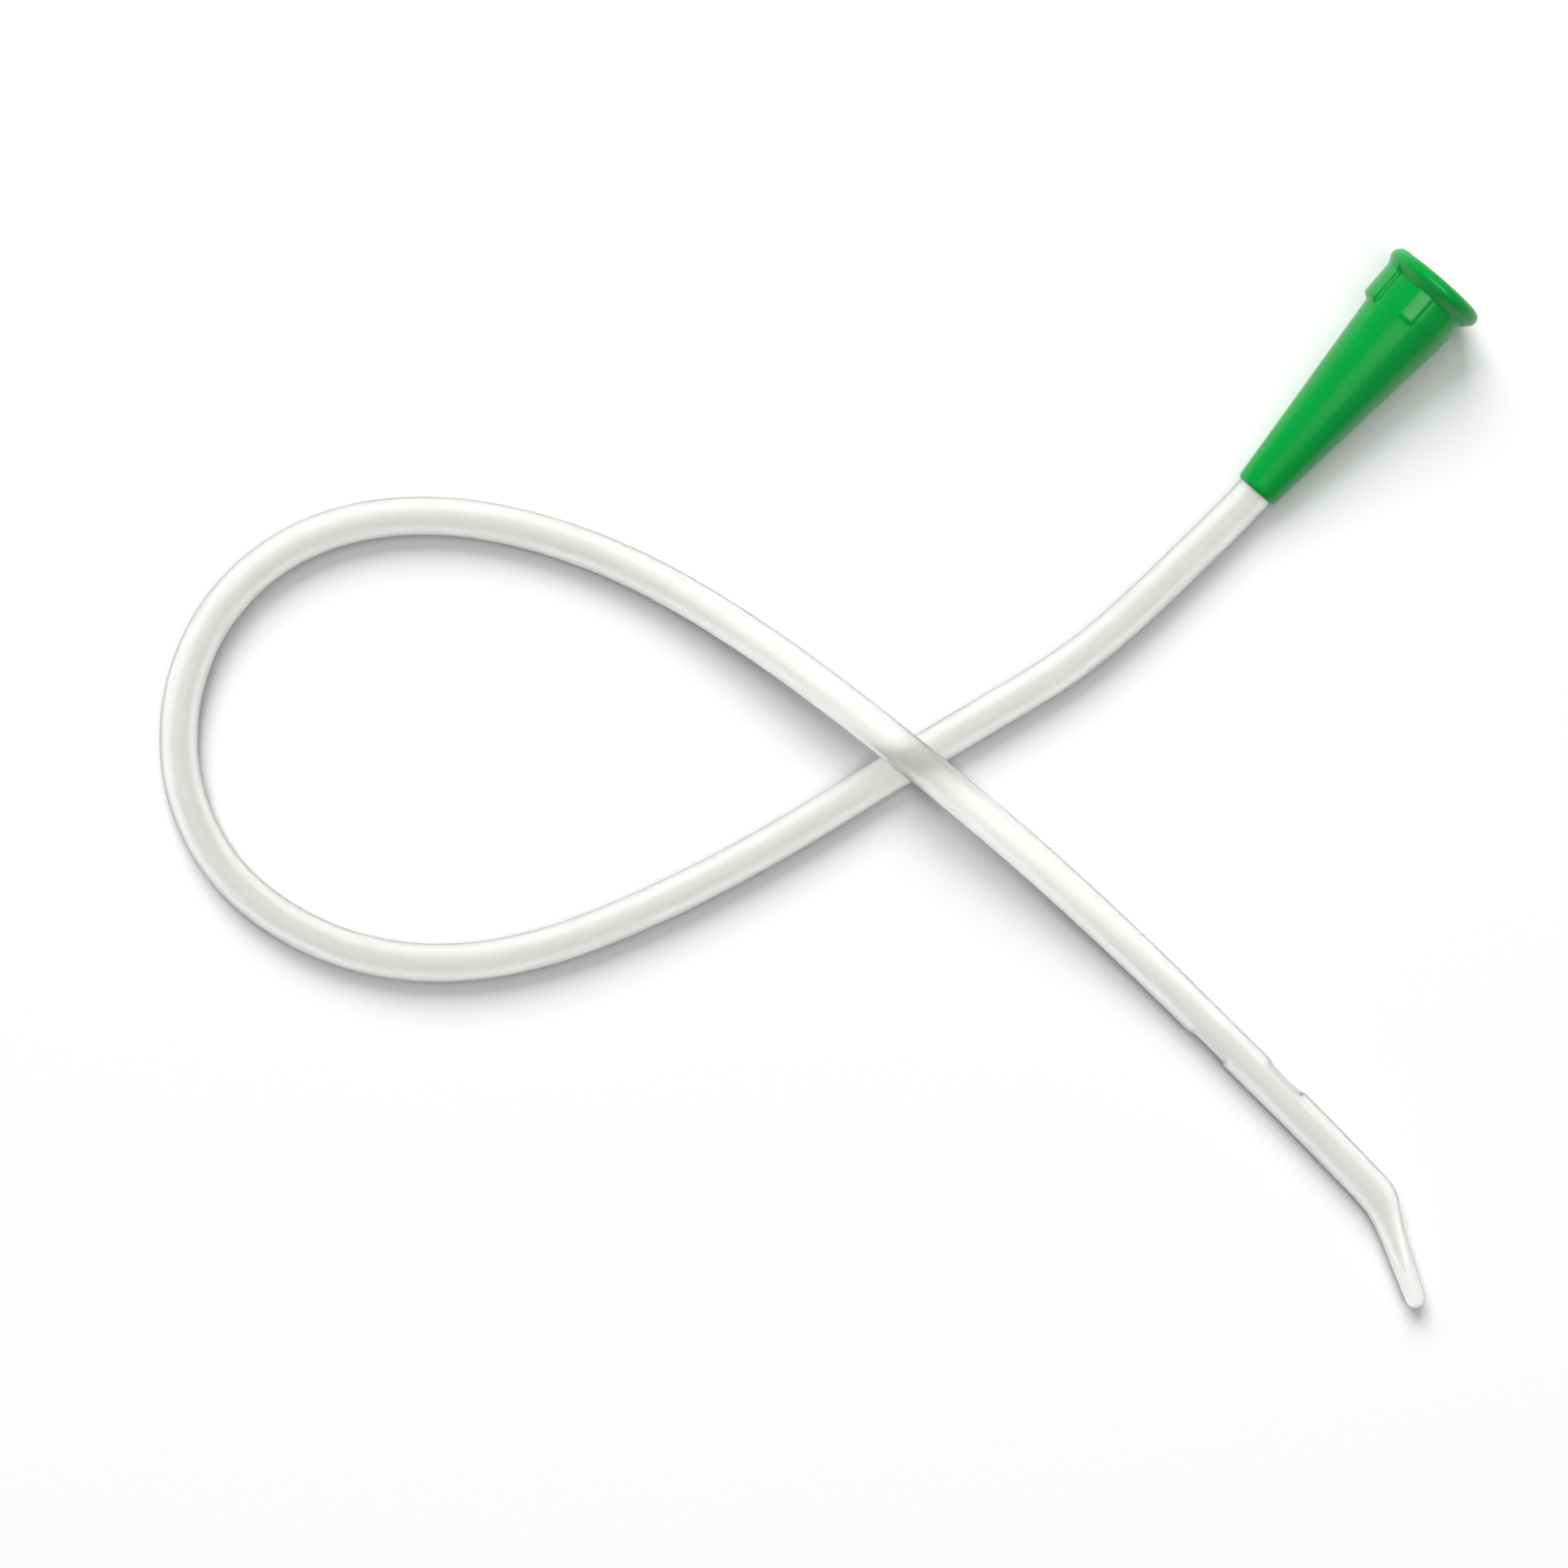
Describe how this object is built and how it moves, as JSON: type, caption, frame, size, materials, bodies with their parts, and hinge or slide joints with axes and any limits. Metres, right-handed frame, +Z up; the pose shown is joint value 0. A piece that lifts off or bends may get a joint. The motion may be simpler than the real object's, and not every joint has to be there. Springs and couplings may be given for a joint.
{
  "type": "coude catheter",
  "caption": "Intermittent urinary catheter: a soft clear tube lying in a crossed loop, with a bent tapered tip, oval side eyes and a keyed green funnel.",
  "frame": {"origin": "middle of the bounding box at the surface that the catheter lies on", "axes": "+X along the funnel's axis in plan, towards its mouth; +Y towards the side with the funnel's key; +Z up"},
  "size_m": [0.1544, 0.1694, 0.0132],
  "materials": {
    "clear_soft_plastic": "frosted clear, softly glossy",
    "green_plastic": "glossy moulded"
  },
  "bodies": {
    "root": {"drainage_tube": "clear_soft_plastic", "funnel_connector": "green_plastic"}
  },
  "joints": []
}
